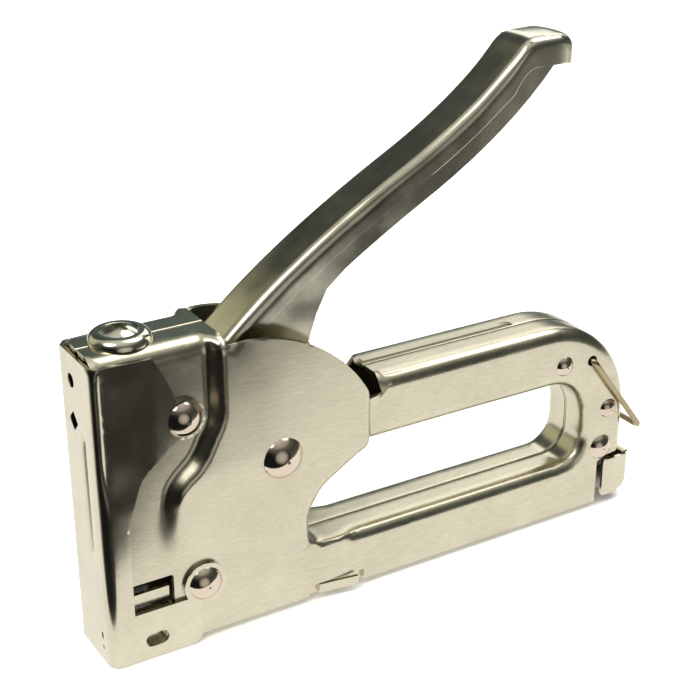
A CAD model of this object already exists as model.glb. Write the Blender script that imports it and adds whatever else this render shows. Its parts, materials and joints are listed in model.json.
import json
import math
import bpy
import bmesh
import numpy as np
from mathutils import Matrix, Vector
from mathutils.geometry import delaunay_2d_cdt


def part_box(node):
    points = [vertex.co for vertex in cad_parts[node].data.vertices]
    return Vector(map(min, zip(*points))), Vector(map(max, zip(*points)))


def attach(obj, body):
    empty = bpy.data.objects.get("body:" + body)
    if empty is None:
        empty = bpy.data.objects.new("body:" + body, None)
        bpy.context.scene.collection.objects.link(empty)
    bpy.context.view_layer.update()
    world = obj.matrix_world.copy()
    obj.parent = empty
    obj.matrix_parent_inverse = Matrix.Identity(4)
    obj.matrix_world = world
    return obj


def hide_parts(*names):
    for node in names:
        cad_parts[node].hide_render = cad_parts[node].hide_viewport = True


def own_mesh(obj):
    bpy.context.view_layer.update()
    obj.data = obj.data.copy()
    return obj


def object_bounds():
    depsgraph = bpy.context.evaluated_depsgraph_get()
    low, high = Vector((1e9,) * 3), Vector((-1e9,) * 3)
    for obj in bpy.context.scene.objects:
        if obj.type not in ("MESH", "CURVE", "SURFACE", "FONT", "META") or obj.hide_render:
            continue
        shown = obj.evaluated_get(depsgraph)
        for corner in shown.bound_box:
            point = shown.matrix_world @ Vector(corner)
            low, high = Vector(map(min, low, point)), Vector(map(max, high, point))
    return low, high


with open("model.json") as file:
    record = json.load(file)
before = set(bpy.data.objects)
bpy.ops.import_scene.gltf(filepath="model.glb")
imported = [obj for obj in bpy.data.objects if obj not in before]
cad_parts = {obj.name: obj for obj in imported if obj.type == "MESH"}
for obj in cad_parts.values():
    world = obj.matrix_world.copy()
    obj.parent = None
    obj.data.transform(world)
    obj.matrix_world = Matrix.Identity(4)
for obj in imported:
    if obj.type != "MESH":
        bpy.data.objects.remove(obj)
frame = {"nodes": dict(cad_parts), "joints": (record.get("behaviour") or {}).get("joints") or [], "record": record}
cad_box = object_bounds()
NODES = frame["nodes"]
MM = 0.001


# ---- sizes, in millimetres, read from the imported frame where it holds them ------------

def mm_box(node):
    low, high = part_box(node)
    return [c / MM for c in low], [c / MM for c in high]


joint = {j["name"]: j for j in frame["joints"]}
shell_low, shell_high = mm_box("near_shell")
cover_high = mm_box("nose_cover")[1]
cap_low, cap_high = mm_box("end_cap")
lever_high = mm_box("lever_shell")[1]
bail_low, bail_high = mm_box("wire_bail")

BODY_LEN = shell_high[0]
BODY_TOP = shell_high[2]
HUB_HALF = -shell_low[1]
SHELL_HALF = 9.0
COVER_HALF = cover_high[1]
COVER_T = 1.0
SHEET_T = 1.2
SILL_Z = 1.5
PIVOT = (joint["lever_pivot"]["pos_m"][0] / MM, joint["lever_pivot"]["pos_m"][2] / MM)
HUB_C = (PIVOT[0] - 10.9, PIVOT[1] - 7.0)
HUB_R = 39.0
HUB_FRONT = 29.0
CAP_EDGE = 31.5
GRIP_TOP = 57.0
GRIP_UNDER = 40.3
GRIP_FRONT = 72.5
GAP_FLOOR = 52.8
GAP_REAR = GRIP_FRONT + 2.0   # front end of the grip's top
HEEL_R = 28.0
HEEL_C = (BODY_LEN - HEEL_R, GRIP_TOP - HEEL_R)
OPEN_FRONT = 52.8
OPEN_SILL = 16.0
OPEN_REAR = BODY_LEN - 13.8
OPEN_R = 5.5
NOTCH_X = (53.4, 69.4)
NOTCH_TOP = 4.5
RECESS = (144.8, 13.9)
WINDOW = (6.4, 17.0, 13.0, 20.5)
ROLL = 3.4            # bend of the shell's rolled edges
NOSE_ROLL = 4.0
NOSE_UPPER = (21.6, 60.2)
NOSE_LOWER = (24.8, 15.8)
EDGE_BREAK = 0.2      # bevel on the edges of the plain nodes
LIP_Y = 0.75          # where the rolled edges' flanges begin, from the middle
STEP_HALF = 2.0       # half width of the hub's step at its top
STEP_SPREAD = 2.2     # how much wider it gets lower down
FRONT_SINK = 0.8      # share of the rise that is lost at the low front
DRAW_DEPTH = 0.035    # unevenness of the plain sides
DIMPLE = (148.2, 39.3)
DIMPLE_DEPTH = 0.5
DIMPLE_R = 0.9
SLOT = (11.7, 5)
SLOT_HALF = 1.2
SLOT_R = 1.8
EAR_LOW_R = 5.5
EAR_HIGH_R = 5.0
RIB_Y = -2.5
RIB_Z = (27, 60)
RIB_DEPTH = 0.6
RIB_WIDTH = 0.75
BAIL_INNER = 7.2      # where the bail's legs end, from the middle
KNEE_R = 1.7
BOW_R = 2.6
BAIL_PIVOT = (joint["bail_hinge"]["pos_m"][0] / MM, joint["bail_hinge"]["pos_m"][2] / MM)


# ---- flat geometry ---------------------------------------------------------------------

def arc(centre, radius, start, end, step=4.0):
    n = max(2, int(abs(end - start) / step) + 1)
    return [(centre[0] + radius * math.cos(math.radians(start + (end - start) * i / n)),
             centre[1] + radius * math.sin(math.radians(start + (end - start) * i / n)))
            for i in range(n + 1)]


def filleted(corners, step=15.0):
    """A closed loop from (x, z, radius) corners."""
    loop = []
    count = len(corners)
    for i, (x, z, r) in enumerate(corners):
        if r <= 0:
            loop.append((x, z))
            continue
        p = Vector((x, z))
        a = (Vector(corners[i - 1][:2]) - p)
        b = (Vector(corners[(i + 1) % count][:2]) - p)
        half = a.angle(b) / 2
        cut = min(r / math.tan(half), a.length * 0.499, b.length * 0.499)
        rr = cut * math.tan(half)
        a.normalize()
        b.normalize()
        centre = p + (a + b).normalized() * rr / math.sin(half)
        s, e = p + a * cut - centre, p + b * cut - centre
        sweep = s.angle(e)
        side = 1 if s.x * e.y - s.y * e.x > 0 else -1
        n = max(2, int(math.degrees(sweep) / step) + 1)
        base = math.atan2(s.y, s.x)
        for k in range(n + 1):
            t = base + side * sweep * k / n
            loop.append((centre.x + rr * math.cos(t), centre.y + rr * math.sin(t)))
    return loop


def resample(line, step, closed=False):
    pts = list(line) + ([line[0]] if closed else [])
    out = []
    for a, b in zip(pts, pts[1:]):
        d = math.hypot(b[0] - a[0], b[1] - a[1])
        if d < 1e-6:
            continue
        n = max(1, int(round(d / step)))
        out += [(a[0] + (b[0] - a[0]) * i / n, a[1] + (b[1] - a[1]) * i / n) for i in range(n)]
    if not closed:
        out.append(pts[-1])
    return out


def segments(lines):
    rows = []
    for line, closed in lines:
        pts = list(line) + ([line[0]] if closed else [])
        rows += [(a[0], a[1], b[0], b[1]) for a, b in zip(pts, pts[1:])]
    return np.array(rows) if rows else np.zeros((0, 4))


def distance(points, segs):
    """Distance from each point to the nearest of the segments."""
    if len(segs) == 0:
        return np.full(len(points), 1e9)
    p = np.asarray(points, float)
    best = np.full(len(p), 1e9)
    for x0, y0, x1, y1 in segs:
        d = np.array([x1 - x0, y1 - y0])
        l2 = max(d @ d, 1e-12)
        t = np.clip(((p[:, 0] - x0) * d[0] + (p[:, 1] - y0) * d[1]) / l2, 0, 1)
        best = np.minimum(best, np.hypot(p[:, 0] - x0 - t * d[0], p[:, 1] - y0 - t * d[1]))
    return best


def inside(points, loop):
    p = np.asarray(points, float)
    hit = np.zeros(len(p), bool)
    pts = list(loop)
    for (x0, y0), (x1, y1) in zip(pts, pts[1:] + pts[:1]):
        cond = (y0 > p[:, 1]) != (y1 > p[:, 1])
        if y1 != y0:
            hit ^= cond & (p[:, 0] < (x1 - x0) * (p[:, 1] - y0) / (y1 - y0) + x0)
    return hit


def offset_line(line, d, closed):
    """The line moved d to its left."""
    n = len(line)
    out = []
    for i, p in enumerate(line):
        a = line[i - 1] if (closed or i > 0) else p
        b = line[(i + 1) % n] if (closed or i < n - 1) else p
        tx, ty = b[0] - a[0], b[1] - a[1]
        length = math.hypot(tx, ty) or 1.0
        out.append((p[0] - ty / length * d, p[1] + tx / length * d))
    return out


def smooth_step(t):
    t = np.clip(t, 0, 1)
    return t * t * (3 - 2 * t)


# ---- mesh helpers ----------------------------------------------------------------------

def linked(name, data):
    obj = bpy.data.objects.new(name, data)
    bpy.context.scene.collection.objects.link(obj)
    return obj


def new_object(name, verts, faces, body):
    mesh = bpy.data.meshes.new(name)
    mesh.from_pydata([tuple(c * MM for c in v) for v in verts], [], faces)
    mesh.update()
    obj = linked(name, mesh)
    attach(obj, body)
    return obj


def merge(obj, dist=0.004):
    bm = bmesh.new()
    bm.from_mesh(obj.data)
    bmesh.ops.remove_doubles(bm, verts=bm.verts, dist=dist * MM)
    bm.to_mesh(obj.data)
    bm.free()


def face_outward(obj):
    bm = bmesh.new()
    bm.from_mesh(obj.data)
    bmesh.ops.recalc_face_normals(bm, faces=bm.faces)
    bm.to_mesh(obj.data)
    bm.free()


def tube_faces(rings, sides):
    """Faces of a capped tube whose vertices run ring by ring."""
    faces = []
    for i in range(rings - 1):
        for k in range(sides):
            a, b = i * sides + k, i * sides + (k + 1) % sides
            faces.append((a, b, b + sides, a + sides))
    faces.append(tuple(range(sides))[::-1])
    faces.append(tuple((rings - 1) * sides + k for k in range(sides)))
    return faces


def apply_all(obj, angle=38):
    graph = bpy.context.evaluated_depsgraph_get()
    graph.update()
    mesh = bpy.data.meshes.new_from_object(obj.evaluated_get(graph))
    obj.modifiers.clear()
    obj.data = mesh
    shade(obj, angle)


def shade(obj, angle=38):
    obj.data.shade_smooth()
    obj.data.set_sharp_from_angle(angle=math.radians(angle))


def thicken(obj, thickness, bevel=0.0):
    """Gives the open sheet its thickness on the inner side, and breaks its sharp edges."""
    solid = obj.modifiers.new("thickness", "SOLIDIFY")
    solid.thickness = thickness * MM
    solid.offset = -1
    solid.use_even_offset = False
    solid.use_quality_normals = True
    apply_all(obj)
    if bevel:
        edge = obj.modifiers.new("edge", "BEVEL")
        edge.width = bevel * MM
        edge.segments = 2
        edge.limit_method = "ANGLE"
        edge.angle_limit = math.radians(50)
        edge.use_clamp_overlap = True
        apply_all(obj, 60)
    even = obj.modifiers.new("even", "WEIGHTED_NORMAL")
    even.mode = "FACE_AREA"
    even.weight = 60
    even.keep_sharp = True


class Pressing:
    """Triangulates a flat outline with aligned rings at its rolled edges."""

    def __init__(self, outer, holes=(), rolls=(), ridges=(), grid=2.4, keep=0.5):
        self.outer, self.holes = outer, list(holes)
        self.rolls = []
        for line, closed, radius in rolls:
            probe = offset_line(line, 0.4, closed)
            middle = len(probe) // 2
            if not self.covers([probe[middle]])[0]:
                line = line[::-1]
            self.rolls.append((line, closed, radius))
        edges, points = [], []

        def add(line, closed):
            start = len(points)
            points.extend(line)
            edges.extend((start + i, start + i + 1) for i in range(len(line) - 1))
            if closed:
                edges.append((start + len(line) - 1, start))

        add(outer, True)
        for hole in self.holes:
            add(hole, True)
        border = segments([(outer, True)] + [(h, True) for h in self.holes])
        ring_lines = []
        for line, closed, radius in self.rolls:
            for angle in (20, 38, 54, 68, 80, 90):
                d = radius * (1 - math.cos(math.radians(angle)))
                ring_lines.append((offset_line(line, d, closed), closed))
        for line, closed in list(ring_lines) + list(ridges):
            ok = self.covers(line) & (distance(line, border) > 0.12)
            run = []
            for i, p in enumerate(line):
                if ok[i]:
                    run.append(p)
                elif run:
                    add(run, False)
                    run = []
            if run:
                add(run, closed and len(run) == len(line))
        taken = segments(ring_lines + list(ridges))
        xs = [p[0] for p in outer]
        zs = [p[1] for p in outer]
        lattice = []
        row = 0
        z = min(zs) + grid * 0.5
        while z < max(zs):
            x = min(xs) + grid * (0.5 if row % 2 else 1.0)
            while x < max(xs):
                lattice.append((x, z))
                x += grid
            z += grid * 0.87
            row += 1
        lattice = [p for p, ok in zip(lattice, self.covers(lattice)
                                      & (distance(lattice, border) > keep)
                                      & (distance(lattice, taken) > keep)) if ok]
        points.extend(lattice)
        res = delaunay_2d_cdt([Vector(p) for p in points], edges, [], 0, 1e-5)
        self.points = [(v.x, v.y) for v in res[0]]
        mids = [(sum(self.points[i][0] for i in f) / 3, sum(self.points[i][1] for i in f) / 3)
                for f in res[2]]
        self.faces = [tuple(f) for f, ok in zip(res[2], self.covers(mids)) if ok]
        fixed = []
        for f in self.faces:
            (ax, ay), (bx, by), (cx, cy) = (self.points[i] for i in f)
            fixed.append(f if (bx - ax) * (cy - ay) - (by - ay) * (cx - ax) > 0 else f[::-1])
        self.faces = fixed

    def covers(self, pts):
        ok = inside(pts, self.outer)
        for hole in self.holes:
            ok &= ~inside(pts, hole)
        return ok

    def sunk(self, pts):
        """How far the rolled edges draw the surface in at each point."""
        drop = np.zeros(len(pts))
        for line, closed, radius in self.rolls:
            d = np.minimum(distance(pts, segments([(line, closed)])), radius)
            drop = np.maximum(drop, radius - np.sqrt(np.maximum(radius**2 - (radius - d)**2, 0)))
        return drop


# ---- the two body shells ---------------------------------------------------------------

opening = filleted([
    (OPEN_FRONT, OPEN_SILL, OPEN_R), (OPEN_REAR, OPEN_SILL, OPEN_R + 2),
    (OPEN_REAR, GRIP_UNDER, 12),
    (GRIP_FRONT - 4, GRIP_UNDER, 9), (OPEN_FRONT + 3.5, 33, 9), (OPEN_FRONT, 27, 7)], 8)
opening = resample(opening, 1.6, True)
hub_end = math.degrees(math.asin((GAP_FLOOR - HUB_C[1]) / HUB_R))
hub_start = math.degrees(math.acos((CAP_EDGE - HUB_C[0]) / HUB_R))
grip_roll = ([(GAP_REAR, GRIP_TOP)] + arc(HEEL_C, HEEL_R, 90, 0, 3)
             + [(BODY_LEN, RECESS[1])])
grip_roll = resample(grip_roll, 1.6)
nose_line = resample([(COVER_T, BODY_TOP), (CAP_EDGE, BODY_TOP)], 1.2)
hub_arc = arc(HUB_C, HUB_R, hub_start, hub_end, 2.2)
bottom = [(RECESS[0], RECESS[1]), (RECESS[0], SILL_Z), (NOTCH_X[1], SILL_Z),
          (NOTCH_X[1], NOTCH_TOP), (NOTCH_X[0], NOTCH_TOP), (NOTCH_X[0], SILL_Z),
          (COVER_T, SILL_Z), (COVER_T, BODY_TOP)]
shell_outer = (nose_line + hub_arc + [(GAP_REAR, GAP_FLOOR)]
               + grip_roll + resample(bottom, 2.4)[:-1])


def tidy_loop(loop, least=0.15):
    out = []
    for p in loop:
        if not out or math.hypot(p[0] - out[-1][0], p[1] - out[-1][1]) > least:
            out.append(p)
    while math.hypot(out[0][0] - out[-1][0], out[0][1] - out[-1][1]) < least:
        out.pop()
    return out


shell_outer = tidy_loop(shell_outer)
patch = filleted([
    (HUB_FRONT, BODY_TOP + 9, 0), (HUB_FRONT, 59, 6), (24, 49.5, 6), (17, 43, 7), (17, 24, 4),
    (35, 22.5, 6), (47, 20, 6), (50.8, 17, 4), (64.8, 16, 3), (69.7, 38.3, 3),
    (69.7, BODY_TOP + 9, 0)], 12)
patch = resample(patch, 1.3, True)
patch_segs = segments([(patch, True)])


def hub_rise(pts):
    """The raised middle: a tight step at the top that eases out lower down."""
    d = distance(pts, patch_segs)
    signed = np.where(inside(pts, patch), d, -d)
    p = np.asarray(pts, float)
    soft = STEP_HALF + STEP_SPREAD * smooth_step((42 - p[:, 1]) / 12)
    t = np.clip((signed + soft) / (2 * soft), 0, 1)
    low_front = smooth_step((47 - p[:, 1]) / 22) * smooth_step((56 - p[:, 0]) / 26)
    rise = (HUB_HALF - SHELL_HALF) * (1 - FRONT_SINK * low_front)
    return rise * t ** 3 * (t * (6 * t - 15) + 10)


ridges = [(offset_line(patch, k, True), True)
          for k in (-4.2, -3.3, -2.5, -1.9, -1.3, -0.8, -0.3, 0.3, 0.8, 1.3, 1.9, 2.5, 3.3, 4.2)]
window_hole = filleted([(WINDOW[0] - 1.2, WINDOW[2] - 1, 0.8), (WINDOW[1], WINDOW[2] - 1, 0.8),
                        (WINDOW[1], WINDOW[3], 0.8), (WINDOW[0] - 1.2, WINDOW[3], 0.8)], 20)
foot_slot = filleted([(8.9, 3.4, 1.5), (14.5, 3.4, 1.5), (14.5, 6.6, 1.5), (8.9, 6.6, 1.5)], 20)
bail_hole = arc(BAIL_PIVOT, 1.5, 0, 345, 20)
shell_form = Pressing(shell_outer, [opening, window_hole, foot_slot, bail_hole],
                      [(opening, True, ROLL), (grip_roll, False, ROLL),
                       (nose_line, False, NOSE_ROLL)], ridges)


def shell_y(pts):
    y = SHELL_HALF + hub_rise(pts) - shell_form.sunk(pts)
    # the plain sides are not dead flat: a press leaves them a little drawn
    p = np.asarray(pts)
    y = y + DRAW_DEPTH * np.sin(p[:, 0] * 0.071 + 0.9) * np.sin(p[:, 1] * 0.093 + 0.4)
    # dimple beside the bail
    d = np.hypot(p[:, 0] - DIMPLE[0], p[:, 1] - DIMPLE[1])
    return y - DIMPLE_DEPTH * np.exp(-(d / DIMPLE_R) ** 2)


def pressed_side(form, width_at, side, seam=True):
    """Vertices and faces of one side: its face, rolled edges and flanges to the middle."""
    ys = width_at(form.points)
    verts = [(p[0], side * y, p[1]) for p, y in zip(form.points, ys)]
    faces = list(form.faces)
    if seam:
        lip = ((LIP_Y, 0.0), (0.42, 0.05), (0.2, 0.2), (0.1, 0.5))
    else:
        lip = ((LIP_Y, 0.0), (0.0, 0.0))
    for line, closed, radius in form.rolls:
        edge = width_at(line)
        count = len(line)
        levels = (1.0, 0.72, 0.44, 0.2)
        rows = []
        for j, (p, y) in enumerate(zip(line, edge)):
            a = line[j - 1] if (closed or j > 0) else p
            b = line[(j + 1) % count] if (closed or j < count - 1) else p
            tx, tz = b[0] - a[0], b[1] - a[1]
            length = math.hypot(tx, tz) or 1
            nx, nz = -tz / length, tx / length      # into the sheet's outline
            row = [(p[0], side * (LIP_Y + (y - LIP_Y) * k), p[1]) for k in levels]
            for yy, sink in lip:
                row.append((p[0] + nx * sink, side * yy, p[1] + nz * sink))
            rows.append(row)
        start = len(verts)
        width = len(rows[0])
        for row in rows:
            verts += row
        last = count if closed else count - 1
        for j in range(last):
            k = (j + 1) % count
            for i in range(width - 1):
                a, b = start + j * width + i, start + k * width + i
                faces.append((b, a, a + 1, b + 1))
    if side > 0:
        faces = [f[::-1] for f in faces]
    return verts, faces


def make_shell(name, side, node):
    verts, faces = pressed_side(shell_form, shell_y, side)
    obj = new_object(name, verts, faces, "frame")
    merge(obj, 0.02)
    thicken(obj, SHEET_T, 0.14)
    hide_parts(node)
    return obj


near_shell = make_shell("near_pressing", -1, "near_shell")
far_shell = make_shell("far_pressing", 1, "far_shell")


def sweep(name, profile, stations, body):
    """Closed profile of (y, up) points carried along (x, z, nx, nz) stations."""
    verts = []
    for x, z, nx, nz in stations:
        verts += [(x + nx * h, y, z + nz * h) for y, h in profile]
    obj = new_object(name, verts, tube_faces(len(stations), len(profile)), body)
    face_outward(obj)
    shade(obj, 20)
    return obj


# folded seam of the far shell along the grip's top
strip_profile = [(0.5, -0.4), (0.5, 0.3), (0.7, 0.55), (2.6, 0.55), (2.9, 0.3), (2.9, -0.4)]
strip = sweep("grip_seam_strip", strip_profile,
              [(GAP_REAR + 0.5 + i * 2.3, GRIP_TOP, 0, 1) for i in range(20)]
              + [(GAP_REAR + 46.4, GRIP_TOP - 0.5, 0, 1)], "frame")

# ---- nose cover ------------------------------------------------------------------------

COVER_BEND = 2.4
ear_low = arc(NOSE_LOWER, EAR_LOW_R, -103.7, 210.6, 9)
ear_high = arc(NOSE_UPPER, EAR_HIGH_R, -109, 112, 9)
flange = 6.4
COVER_TOP = cover_high[2]
cover_outline = ([(0, 0), (20.5, 0)] + arc((20.5, 3), 3, -90, 0, 18) + [(23.5, 10.0)]
                 + ear_low + [(19.0, 13), (flange, 13)]
                 + filleted([(flange, 13, 0), (flange, 36.2, 8), (10.2, 48, 10),
                             (18.6, 54.9, 1.5), (NOSE_UPPER[0], NOSE_UPPER[1], 0)], 8)[1:-1]
                 + ear_high + [(19.4, 66.6), (17.2, 71.8), (15.2, 75.6), (14.2, COVER_TOP)]
                 + [(0, COVER_TOP)])
cover_outline = tidy_loop(resample(tidy_loop(cover_outline), 1.5, True), 0.3)
slot_hole = ([(SLOT[0] + SLOT_HALF + SLOT_R * math.cos(t), SLOT[1] + SLOT_R * math.sin(t))
              for t in np.linspace(-math.pi / 2, math.pi / 2, 9)]
             + [(SLOT[0] - SLOT_HALF - SLOT_R * math.cos(t), SLOT[1] - SLOT_R * math.sin(t))
                for t in np.linspace(-math.pi / 2, math.pi / 2, 9)])
front_edge = [p for p in cover_outline if abs(p[0]) < 1e-6]
front_edge.sort(key=lambda p: -p[1])
cover_form = Pressing(cover_outline, [slot_hole], [(front_edge, False, COVER_BEND)], (), 1.6, 0.4)


def cover_y(pts):
    p = np.asarray(pts, float)
    y = COVER_HALF - cover_form.sunk(pts)
    lean = smooth_step((p[:, 1] - 40) / 14) * (1 - 0.5 * smooth_step((p[:, 1] - 72) / 6))
    y = y - lean * 0.095 * np.clip(13.5 - p[:, 0], 0, 13.5) * smooth_step(p[:, 0] / 3)
    return y


cover_verts, cover_faces = [], []
for side in (-1, 1):
    start = len(cover_verts)
    cover_verts += [(p[0], side * y, p[1]) for p, y in zip(cover_form.points,
                                                            cover_y(cover_form.points))]
    cover_faces += [tuple(start + i for i in (f if side < 0 else f[::-1]))
                    for f in cover_form.faces]
edge_y = cover_y(front_edge)
front_loop = ([(-y, p[1]) for p, y in zip(front_edge, edge_y)]
              + [(y, p[1]) for p, y in list(zip(front_edge, edge_y))[::-1]])
top_fill = resample([front_loop[-1], front_loop[0]], 1.6)[1:-1]
low_fill = resample([front_loop[len(front_edge) - 1], front_loop[len(front_edge)]], 1.6)[1:-1]
front_loop = front_loop[:len(front_edge)] + low_fill + front_loop[len(front_edge):] + top_fill
HOLE_Y = 2.2
front_holes = [
    arc((HOLE_Y, BODY_TOP - 8.1), 1.7, 0, 345, 15),
    filleted([(HOLE_Y, BODY_TOP - 20.6, 0.5), (HOLE_Y + 2.4, BODY_TOP - 18.1, 0.5),
              (HOLE_Y, BODY_TOP - 15.6, 0.5), (HOLE_Y - 2.4, BODY_TOP - 18.1, 0.5)], 30),
    filleted([(-5.4, 6.2, 0.3), (-4.5, 6.2, 0.3), (-4.5, 8.1, 0.3), (-5.4, 8.1, 0.3)], 45),
    arc((-5.1, 3.9), 0.5, 0, 330, 30)]
front_form = Pressing(front_loop, front_holes, (), [
    (resample([(RIB_Y + o, RIB_Z[0] + 1), (RIB_Y + o, RIB_Z[1] - 1)], 2), False)
    for o in (-1.4, -0.7, 0, 0.7, 1.4)], 1.8, 0.5)
fp = np.asarray(front_form.points)
rib = (RIB_DEPTH * np.exp(-((fp[:, 0] - RIB_Y) / RIB_WIDTH) ** 2)
       * smooth_step((fp[:, 1] - RIB_Z[0]) / 3) * smooth_step((RIB_Z[1] - fp[:, 1]) / 3))
start = len(cover_verts)
cover_verts += [(float(r), p[0], p[1]) for r, p in zip(rib, front_form.points)]
cover_faces += [tuple(start + i for i in f[::-1]) for f in front_form.faces]
nose_cover = new_object("nose_wrap", cover_verts, cover_faces, "frame")
merge(nose_cover, 0.03)
thicken(nose_cover, COVER_T, 0.24)
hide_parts("nose_cover")

# ---- end cap ---------------------------------------------------------------------------

CAP_HALF = cap_high[1]
CAP_TOP = cap_high[2] - 0.9
cap_outline = filleted([(cap_low[0], cap_low[2], 0.6), (cap_high[0], cap_low[2], 3.6),
                        (cap_high[0], CAP_TOP, 0.01), (cap_low[0], CAP_TOP, 0.8)], 12)
cap_outline = tidy_loop(resample(cap_outline, 0.9, True), 0.12)
cap_rear = [p for p in cap_outline
            if p[0] > cap_high[0] - 3.4 and cap_low[2] + 0.05 < p[1] < CAP_TOP - 0.01]
cap_rear.sort(key=lambda p: p[1])
cap_rear = cap_rear + [(cap_high[0], CAP_TOP)]
cap_form = Pressing(cap_outline, (), [(cap_rear, False, 1.5)], (), 1.1, 0.3)


def cap_y(pts):
    p = np.asarray(pts, float)
    # the cheeks' front edges are drawn in a little
    return CAP_HALF - cap_form.sunk(pts) - 0.25 * smooth_step((cap_low[0] + 1.4 - p[:, 0]) / 1.4)


cap_verts, cap_faces = [], []
for side in (-1, 1):
    verts, faces = pressed_side(cap_form, cap_y, side, False)
    base = len(cap_verts)
    cap_verts += verts
    cap_faces += [tuple(base + i for i in f) for f in faces]
end_cap = new_object("magazine_cap", cap_verts, cap_faces, "loader")
merge(end_cap, 0.02)
thicken(end_cap, 1.0, 0.2)
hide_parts("end_cap")
cap_lip = sweep("cap_lip", [(-CAP_HALF + 1.2, 0), (-CAP_HALF + 0.5, 0.35), (-CAP_HALF + 0.7, 0.8),
                            (CAP_HALF - 0.7, 0.8), (CAP_HALF - 0.5, 0.35), (CAP_HALF - 1.2, 0)],
                [(cap_high[0] - 1.9, CAP_TOP - 0.3, 0, 1), (cap_high[0] - 1.0, CAP_TOP - 0.1, 0, 1),
                 (cap_high[0] - 0.15, CAP_TOP + 0.05, 0, 1)], "loader")

# ---- lever -----------------------------------------------------------------------------

LEVER_HALF = lever_high[1]
LEVER_T = 0.9
SKIRT = 5.6


def placed(dx, dz):
    return Vector((PIVOT[0] + dx, PIVOT[1] + dz))


crest_mid, crest_end = placed(41, 65), placed(71.6, 88.7)
crest_a = (placed(-12, 29.3), placed(2, 42.7), placed(21, 54.3), crest_mid)
crest_b = (crest_mid, placed(53, 71.7), placed(64, 79.8), crest_end)
TIP_X = lever_high[0]
TIP_TOP = lever_high[2]


def cubic(p, t):
    return ((1 - t) ** 3 * p[0] + 3 * t * (1 - t) ** 2 * p[1]
            + 3 * t * t * (1 - t) * p[2] + t ** 3 * p[3])


def slope(p, t):
    return ((1 - t) ** 2 * (p[1] - p[0]) + 2 * t * (1 - t) * (p[2] - p[1])
            + t * t * (p[3] - p[2])).normalized()


def half_profile(depth, roll):
    """(out, down) points of half a channel, from the crest line to the skirt's edge."""
    half = LEVER_HALF
    pts = [(half * k, -CROWN * (1 - (k / 0.8) ** 2)) for k in (0, 0.2, 0.4, 0.55, 0.66)]
    for a in (0, 15, 30, 45, 60, 75, 90):
        t = math.radians(a)
        pts.append((half - roll + roll * math.sin(t), roll - roll * math.cos(t)))
    for k in (0.35, 0.7, 0.9, 1.0):
        pts.append((half, roll + (depth - roll) * k))
    return pts


LEVER_ROLL = 2.6
CROWN = 0.22          # rise of the lever's back in its middle
CREST_STEPS = 26
CREST_SHARE = 0.93    # how much of the second crest curve is used before the tip
TIP_SINK = 2.0        # fall of the tip's end
PLATEAU = TIP_TOP - 0.25
centre_x = TIP_X - LEVER_HALF
near = Vector((0, -1, 0))
plumb = Vector((0, 0, -1))
stations = []                # origin, sideways, down, depth, roll
for i in range(CREST_STEPS + 1):
    t = i / CREST_STEPS
    c, s = cubic(crest_a, t), slope(crest_a, t)
    stations.append((Vector((c.x, 0, c.y)), near, Vector((s.y, 0, -s.x)), SKIRT, LEVER_ROLL))
for i in range(1, CREST_STEPS + 1):
    t = CREST_SHARE * i / CREST_STEPS
    c, s = cubic(crest_b, t), slope(crest_b, t)
    turn = float(smooth_step((t - 0.55) / 0.38))
    down = Vector((s.y, 0, -s.x)).lerp(plumb, turn).normalized()
    stations.append((Vector((c.x, 0, c.y)), near, down, SKIRT + 1.2 * turn, LEVER_ROLL))
last_c, last_s = cubic(crest_b, CREST_SHARE), slope(crest_b, CREST_SHARE)
turn_from = math.atan2(last_s.y, last_s.x)
turn_r = (PLATEAU - last_c.y) / (1 - math.cos(turn_from))
for k in range(1, 7):
    a = turn_from * (1 - k / 6)
    x = last_c.x + turn_r * (math.sin(turn_from) - math.sin(a))
    z = last_c.y + turn_r * (math.cos(a) - math.cos(turn_from))
    stations.append((Vector((x, 0, z)), near, plumb, SKIRT + 1.25, LEVER_ROLL))
fold_x = stations[-1][0].x
for k in range(1, 6):
    x = fold_x + (centre_x - fold_x) * k / 5
    stations.append((Vector((x, 0, PLATEAU)), near, plumb, SKIRT + 1.3, LEVER_ROLL - 0.1 * k))
for k in range(1, 13):
    a = math.radians(-90 + 90 * k / 12)
    stations.append((Vector((centre_x, 0, PLATEAU)), Vector((math.cos(a), math.sin(a), 0)), plumb,
                     SKIRT + 1.3 - 0.5 * k / 12, LEVER_ROLL - 0.5 + 0.6 * k / 12))
lever_verts, lever_faces = [], []
width = len(half_profile(SKIRT, LEVER_ROLL))
for mirror in (1, -1):
    start = len(lever_verts)
    for origin, sideways, down, depth, roll in stations:
        for out, low in half_profile(depth, roll):
            sink = TIP_SINK * (out / LEVER_HALF) ** 2 * max(0.0, sideways.x) ** 1.5
            p = origin + sideways * min(out, LEVER_HALF) + down * (low + sink)
            lever_verts.append((p.x, p.y * mirror, p.z))
    for i in range(len(stations) - 1):
        for k in range(width - 1):
            a = start + i * width + k
            f = (a, a + 1, a + width + 1, a + width)
            lever_faces.append(f if mirror > 0 else f[::-1])
lever = new_object("lever_channel", lever_verts, lever_faces, "lever")
merge(lever, 0.02)
bm = bmesh.new()
bm.from_mesh(lever.data)
bmesh.ops.recalc_face_normals(bm, faces=bm.faces)
outward = 0.0
for f in bm.faces:
    c = f.calc_center_median()
    outward += f.calc_area() * f.normal.dot(Vector((0, c.y, 0.01)))
if outward < 0:
    bmesh.ops.reverse_faces(bm, faces=bm.faces)
bm.to_mesh(lever.data)
bm.free()
thicken(lever, LEVER_T, 0.26)
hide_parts("lever_shell")

# ---- bail ------------------------------------------------------------------------------

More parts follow.
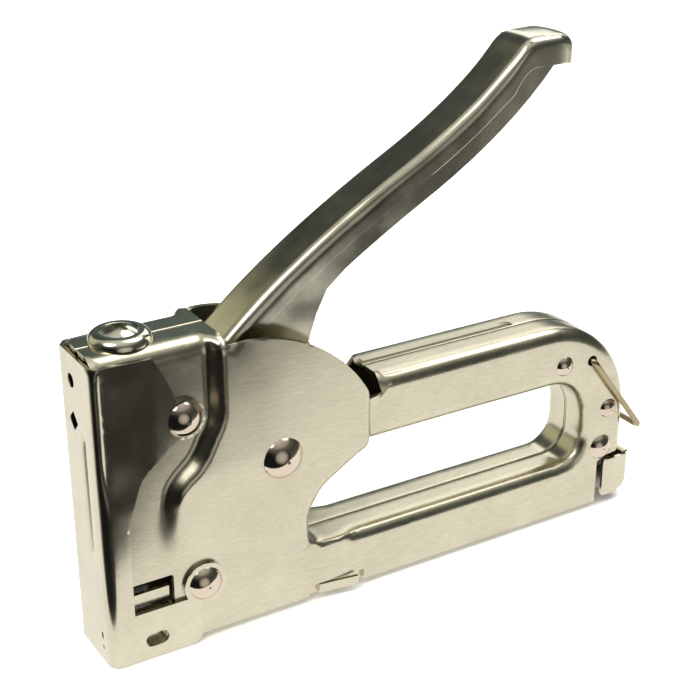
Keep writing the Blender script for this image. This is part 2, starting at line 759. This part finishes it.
WIRE = 1.6
bail_side = bail_high[1] - WIRE / 2
bail_tip = Vector((bail_high[0] - WIRE / 2, bail_low[2] + WIRE / 2))
pivot_point = Vector(BAIL_PIVOT)
along = (bail_tip - pivot_point).normalized()


def bail_corner(corner_at, before, after, r, n=6):
    a = (before - corner_at).normalized()
    b = (after - corner_at).normalized()
    s, e = corner_at + a * r, corner_at + b * r
    out = []
    for i in range(n + 1):
        t = i / n
        out.append((1 - t) ** 2 * s + 2 * t * (1 - t) * corner_at + t * t * e)
    return out


def bail_at(p, y):
    return Vector((p.x, y, p.y))


bail_path = []
for side in (-1, 1):
    inner = bail_at(pivot_point, side * BAIL_INNER)
    knee = bail_at(pivot_point, side * bail_side)
    far_end = bail_at(bail_tip, side * bail_side)
    cross = bail_at(bail_tip, 0)
    leg = [inner] + bail_corner(knee, inner, far_end, KNEE_R) \
        + [knee.lerp(far_end, t) for t in (0.2, 0.4, 0.6, 0.8)] \
        + bail_corner(far_end, knee, cross, BOW_R)
    bail_path += leg if side < 0 else leg[::-1]
curve = bpy.data.curves.new("wire_lock", "CURVE")
curve.dimensions = "3D"
curve.bevel_depth = WIRE / 2 * MM
curve.bevel_resolution = 6
curve.use_fill_caps = True
spline = curve.splines.new("POLY")
spline.points.add(len(bail_path) - 1)
for point, p in zip(spline.points, bail_path):
    point.co = (p.x * MM, p.y * MM, p.z * MM, 1)
route = linked("wire_route", curve)
wire_mesh = bpy.data.meshes.new_from_object(
    route.evaluated_get(bpy.context.evaluated_depsgraph_get()))
bpy.data.objects.remove(route)
bail = linked("wire_lock", wire_mesh)
shade(bail, 50)
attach(bail, "bail")
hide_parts("wire_bail")

# ---- springs ---------------------------------------------------------------------------


def coil_spring(name, node, axis, wire, turns, body, room=0.0):
    """A closed-end coil in a node's box that shortens with its joint.

    room is left free at the end that the coil is anchored to."""
    low, high = mm_box(node)
    high[axis] -= room
    others = [i for i in range(3) if i != axis]
    centre = [(low[i] + high[i]) / 2 for i in range(3)]
    mean = (high[others[0]] - low[others[0]]) / 2 - wire / 2
    start, end = low[axis] + wire / 2, high[axis] - wire / 2
    per_turn, sides = 28, 8
    count = int((turns + 2) * per_turn)
    rings = []
    for i in range(count + 1):
        turn = i / per_turn
        # the last turn at each end lies flat
        share = min(max((turn - 0.8) / (turns + 0.4), 0), 1)
        rings.append((turn * 2 * math.pi, start + (end - start) * share))
    verts = []
    for t, along in rings:
        for k in range(sides):
            a = 2 * math.pi * k / sides
            r = mean + wire / 2 * math.cos(a)
            p = [0.0, 0.0, 0.0]
            p[axis] = along + wire / 2 * math.sin(a)
            p[others[0]] = centre[others[0]] + r * math.cos(t)
            p[others[1]] = centre[others[1]] + r * math.sin(t)
            verts.append(tuple(p))
    obj = new_object(name, verts, tube_faces(len(rings), sides), body)
    face_outward(obj)
    shade(obj, 60)
    anchor = [c * MM for c in centre]
    anchor[axis] = high[axis] * MM
    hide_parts(node)
    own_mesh(obj)
    return obj


# the spring seat comes down by its own travel, which the drive spring leaves free
seat_room = joint["seat_slide"]["range_m"][1] / MM
drive_spring = coil_spring("drive_spring", "main_spring", 2, 1.8, 7, "frame",
                           seat_room)
feed_spring = coil_spring("feed_spring", "pusher_spring", 0, 0.6, 24, "loader")

# ---- materials -------------------------------------------------------------------------


def metal(name, base, rough, mottle=0.06, grain=0.05, grain_scale=(70, 900, 900), bump=0.02,
          wave=0.0, wave_scale=38):
    """Plated or plain metal with faint tone changes, a drawn grain and uneven gloss."""
    mat = bpy.data.materials.new(name)
    mat.use_nodes = True
    tree = mat.node_tree
    n, link = tree.nodes, tree.links.new
    shader = n["Principled BSDF"]
    shader.inputs["Metallic"].default_value = 1.0
    coord = n.new("ShaderNodeTexCoord")
    tone = n.new("ShaderNodeTexNoise")
    tone.inputs["Scale"].default_value = 70
    tone.inputs["Detail"].default_value = 5
    tone.inputs["Roughness"].default_value = 0.6
    link(coord.outputs["Object"], tone.inputs["Vector"])
    stretch = n.new("ShaderNodeMapping")
    stretch.inputs["Scale"].default_value = grain_scale
    link(coord.outputs["Object"], stretch.inputs["Vector"])
    lines = n.new("ShaderNodeTexNoise")
    lines.inputs["Scale"].default_value = 6
    lines.inputs["Detail"].default_value = 3
    link(stretch.outputs["Vector"], lines.inputs["Vector"])
    ramp = n.new("ShaderNodeValToRGB")
    low = [max(0.0, c * (1 - mottle * 1.6)) for c in base]
    high = [min(1.0, c * (1 + mottle)) for c in base]
    ramp.color_ramp.elements[0].position = 0.3
    ramp.color_ramp.elements[1].position = 0.7
    ramp.color_ramp.elements[0].color = (*low, 1)
    ramp.color_ramp.elements[1].color = (*high, 1)
    link(tone.outputs["Fac"], ramp.inputs["Fac"])
    speck = n.new("ShaderNodeMapRange")
    speck.inputs["From Min"].default_value = 0.3
    speck.inputs["From Max"].default_value = 0.7
    speck.inputs["To Min"].default_value = 1 - grain
    speck.inputs["To Max"].default_value = 1 + grain * 0.5
    link(lines.outputs["Fac"], speck.inputs["Value"])
    mix = n.new("ShaderNodeMix")
    mix.data_type = "RGBA"
    mix.blend_type = "MULTIPLY"
    mix.inputs["Factor"].default_value = 1.0
    link(ramp.outputs["Color"], mix.inputs["A"])
    link(speck.outputs["Result"], mix.inputs["B"])
    link(mix.outputs["Result"], shader.inputs["Base Color"])
    gloss = n.new("ShaderNodeMapRange")
    gloss.inputs["From Min"].default_value = 0.3
    gloss.inputs["From Max"].default_value = 0.7
    gloss.inputs["To Min"].default_value = rough * 0.85
    gloss.inputs["To Max"].default_value = min(1, rough * 1.2)
    link(tone.outputs["Fac"], gloss.inputs["Value"])
    link(gloss.outputs["Result"], shader.inputs["Roughness"])
    if bump:
        relief = n.new("ShaderNodeBump")
        relief.inputs["Strength"].default_value = bump
        relief.inputs["Distance"].default_value = 0.0002
        link(lines.outputs["Fac"], relief.inputs["Height"])
        if wave:
            swell = n.new("ShaderNodeTexNoise")
            swell.inputs["Scale"].default_value = wave_scale
            swell.inputs["Detail"].default_value = 1
            link(coord.outputs["Object"], swell.inputs["Vector"])
            slow = n.new("ShaderNodeBump")
            slow.inputs["Strength"].default_value = 1.0
            slow.inputs["Distance"].default_value = wave
            link(swell.outputs["Fac"], slow.inputs["Height"])
            link(slow.outputs["Normal"], relief.inputs["Normal"])
        link(relief.outputs["Normal"], shader.inputs["Normal"])
    return mat


MATS = {
    "nickel_shell": metal("nickel_shell", (0.66, 0.62, 0.485), 0.24, 0.06, 0.10, wave=0.0004),
    "nickel_cover": metal("nickel_cover", (0.67, 0.63, 0.50), 0.17, 0.06, 0.08, bump=0.012,
                          wave=0.0003),
    "lever_nickel": metal("lever_nickel", (0.66, 0.64, 0.52), 0.19, 0.14, 0.08, wave=0.0007,
                          wave_scale=55),
    "bright_rivet": metal("bright_rivet", (0.70, 0.60, 0.50), 0.08, 0.05, 0.02, bump=0.004),
    "screw_nickel": metal("screw_nickel", (0.72, 0.70, 0.60), 0.12, 0.05, 0.02, bump=0.006),
    "bail_wire": metal("bail_wire", (0.46, 0.39, 0.24), 0.24, 0.10, 0.10),
    "inner_steel": metal("inner_steel", (0.30, 0.30, 0.28), 0.38, 0.12, 0.10),
    "hard_steel": metal("hard_steel", (0.34, 0.34, 0.34), 0.30, 0.08, 0.08),
    "spring_steel": metal("spring_steel", (0.16, 0.16, 0.17), 0.34, 0.10, 0.05),
    "staple_wire": metal("staple_wire", (0.72, 0.72, 0.74), 0.28, 0.08, 0.25, (40, 900, 900)),
    "bush_brass": metal("bush_brass", (0.70, 0.52, 0.24), 0.28, 0.08, 0.06),
}
own = {near_shell: "nickel_shell", far_shell: "nickel_shell", strip: "nickel_shell",
       nose_cover: "nickel_cover", end_cap: "nickel_cover", cap_lip: "nickel_cover",
       lever: "lever_nickel", bail: "bail_wire",
       drive_spring: "spring_steel", feed_spring: "spring_steel"}
for obj, slot_name in own.items():
    obj.data.materials.clear()
    obj.data.materials.append(MATS[slot_name])
node_slot = {row["node"]: row["material_slot"] for row in frame["record"]["subparts"]}
replaced = {"near_shell", "far_shell", "nose_cover", "lever_shell", "wire_bail", "end_cap",
            "main_spring", "pusher_spring"}
for node_name, obj in NODES.items():
    if node_name in replaced:
        continue
    for s in obj.material_slots:
        s.material = MATS[node_slot[node_name]]
    if not obj.material_slots:
        obj.data.materials.append(MATS[node_slot[node_name]])
    edge = obj.modifiers.new("edge", "BEVEL")
    edge.width = EDGE_BREAK * MM
    edge.segments = 2
    edge.limit_method = "ANGLE"
    edge.angle_limit = math.radians(40)
    even = obj.modifiers.new("even", "WEIGHTED_NORMAL")
    even.keep_sharp = True

# ---- studio ----------------------------------------------------------------------------

world = bpy.data.worlds.new("studio")
bpy.context.scene.world = world
world.use_nodes = True
wt = world.node_tree
wn, wl = wt.nodes, wt.links.new
for item in list(wn):
    wn.remove(item)
w_out = wn.new("ShaderNodeOutputWorld")
w_coord = wn.new("ShaderNodeTexCoord")
w_split = wn.new("ShaderNodeSeparateXYZ")
wl(w_coord.outputs["Generated"], w_split.inputs[0])


def ramp_on(value_socket, stops):
    node = wn.new("ShaderNodeMapRange")
    node.inputs["From Min"].default_value = -1
    node.inputs["From Max"].default_value = 1
    wl(value_socket, node.inputs["Value"])
    ramp = wn.new("ShaderNodeValToRGB")
    ramp.color_ramp.interpolation = "EASE"
    els = ramp.color_ramp.elements
    while len(els) > 1:
        els.remove(els[-1])
    for i, (at, colour) in enumerate(stops):
        e = els[0] if i == 0 else els.new((at + 1) / 2)
        e.position = (at + 1) / 2
        e.color = (*colour, 1)
    wl(node.outputs["Result"], ramp.inputs["Fac"])
    return ramp.outputs["Color"]


def lobe(direction, start, full, colour, below):
    """Blends colour in round a direction, from the cosine start to full at the cosine full."""
    dot = wn.new("ShaderNodeVectorMath")
    dot.operation = "DOT_PRODUCT"
    wl(w_coord.outputs["Generated"], dot.inputs[0])
    dot.inputs[1].default_value = Vector(direction).normalized()
    gate = wn.new("ShaderNodeMapRange")
    gate.interpolation_type = "SMOOTHSTEP"
    gate.inputs["From Min"].default_value = start
    gate.inputs["From Max"].default_value = full
    wl(dot.outputs["Value"], gate.inputs["Value"])
    mix = wn.new("ShaderNodeMix")
    mix.data_type = "RGBA"
    mix.blend_type = "MIX"
    wl(gate.outputs["Result"], mix.inputs["Factor"])
    wl(below, mix.inputs["A"])
    mix.inputs["B"].default_value = (*colour, 1)
    return mix.outputs["Result"]


sky = ramp_on(w_split.outputs["Z"], [
    (-1.0, (0.50, 0.49, 0.46)), (-0.30, (0.42, 0.41, 0.37)), (-0.02, (0.10, 0.105, 0.095)),
    (0.30, (0.055, 0.065, 0.060)), (0.58, (0.12, 0.125, 0.105)), (0.78, (0.42, 0.42, 0.38)),
    (1.0, (0.70, 0.69, 0.64))])
for spec in (
        ((-0.10, -0.90, -0.35), 0.55, 0.88, (0.025, 0.025, 0.022)),
        ((-0.86, -0.50, -0.35), 0.60, 0.88, (0.012, 0.012, 0.012)),
        ((0.47, 0.78, 0.42), 0.84, 0.97, (0.09, 0.125, 0.12)),
        ((-0.50, 0.77, 0.38), 0.86, 0.975, (0.62, 0.60, 0.42)),
        ((-0.05, 0.77, 0.64), 0.93, 0.985, (0.07, 0.075, 0.07)),
        ((-0.10, -0.99, 0.05), 0.84, 1.0, (0.55, 0.54, 0.49)),
        ((0.47, 0.08, 0.88), 0.925, 0.965, (3.0, 2.95, 2.85)),
        ((-0.55, -0.12, 0.83), 0.945, 0.975, (3.2, 3.1, 3.0))):
    sky = lobe(*spec, sky)
light_path = wn.new("ShaderNodeLightPath")
bg_seen = wn.new("ShaderNodeBackground")
bg_seen.inputs["Color"].default_value = (1, 1, 1, 1)
bg_seen.inputs["Strength"].default_value = 1.0
bg_light = wn.new("ShaderNodeBackground")
bg_light.inputs["Strength"].default_value = 1.0
wl(sky, bg_light.inputs["Color"])
w_mix = wn.new("ShaderNodeMixShader")
wl(light_path.outputs["Is Camera Ray"], w_mix.inputs["Fac"])
wl(bg_light.outputs[0], w_mix.inputs[1])
wl(bg_seen.outputs[0], w_mix.inputs[2])
wl(w_mix.outputs[0], w_out.inputs["Surface"])

FLOOR_DROP = 0.0002   # metres under the sole
SHEET_DROP = 0.0001
floor_mesh = bpy.data.meshes.new("floor")
floor_mesh.from_pydata([(-3, -3, 0), (3, -3, 0), (3, 3, 0), (-3, 3, 0)], [], [(0, 1, 2, 3)])
floor = linked("floor", floor_mesh)
floor.location.z = cad_box[0][2] - FLOOR_DROP
paper = bpy.data.materials.new("paper")
paper.use_nodes = True
paper_shader = paper.node_tree.nodes["Principled BSDF"]
paper_shader.inputs["Base Color"].default_value = (0.93, 0.93, 0.93, 1)
paper_shader.inputs["Roughness"].default_value = 0.9
floor_mesh.materials.append(paper)
floor.visible_glossy = False


CARD_COLOUR = (1.0, 0.985, 0.94)


def card(name, corners, level):
    """A white studio card that only shows in reflections."""
    mesh = bpy.data.meshes.new(name)
    mesh.from_pydata(corners, [], [tuple(range(len(corners)))])
    obj = linked(name, mesh)
    mat = bpy.data.materials.new(name)
    mat.use_nodes = True
    tree = mat.node_tree
    for item in list(tree.nodes):
        tree.nodes.remove(item)
    glow = tree.nodes.new("ShaderNodeEmission")
    glow.inputs["Color"].default_value = (*CARD_COLOUR, 1)
    glow.inputs["Strength"].default_value = level
    out = tree.nodes.new("ShaderNodeOutputMaterial")
    tree.links.new(glow.outputs[0], out.inputs["Surface"])
    mesh.materials.append(mat)
    obj.visible_camera = False
    obj.visible_diffuse = False
    obj.visible_shadow = False


# the white sheet under the tool, its front left corner folded away
sheet_z = cad_box[0][2] - SHEET_DROP
card("table_card", [(-0.50, 0.466, sheet_z), (0.138, -0.172, sheet_z), (0.60, -0.172, sheet_z),
                    (0.60, 0.60, sheet_z), (-0.50, 0.60, sheet_z)], 1.12)
# a white screen behind on the right
card("screen_card", [(0.27, 0.36, 0.240), (0.75, 0.36, 0.240), (0.75, 0.36, 0.60),
                     (0.30, 0.36, 0.60)], 1.6)


def area(name, location, target, size, power):
    data = bpy.data.lights.new(name, "AREA")
    data.size = size
    data.energy = power
    obj = linked(name, data)
    obj.location = location
    obj.rotation_euler = (Vector(target) - Vector(location)).to_track_quat("-Z", "Y").to_euler()
    obj.visible_glossy = False


area("overhead", (0.1, 0.1, 1.2), (0.08, 0, 0), 1.4, 22)
area("fill", (-0.9, -0.6, 0.9), (0.08, 0, 0), 1.0, 8)

CAMERA_AT = (-103.56, -286.68, 215.06)
CAMERA_RIGHT = (0.8545, -0.5195, 0.0)
CAMERA_BACK = (-0.4725, -0.7772, 0.4155)
LENS = 77.85
cam_data = bpy.data.cameras.new("camera")
cam_data.lens = LENS
cam_data.sensor_width = 36
cam_data.sensor_fit = "HORIZONTAL"
cam_data.clip_start = 0.01
camera = linked("camera", cam_data)
right = Vector(CAMERA_RIGHT).normalized()
back = Vector(CAMERA_BACK).normalized()
up = back.cross(right)
rotation = Matrix((right, up, back)).transposed()
camera.matrix_world = Matrix.Translation(Vector(CAMERA_AT) * MM) @ rotation.to_4x4()
bpy.context.scene.camera = camera
bpy.context.scene.view_settings.view_transform = "Standard"
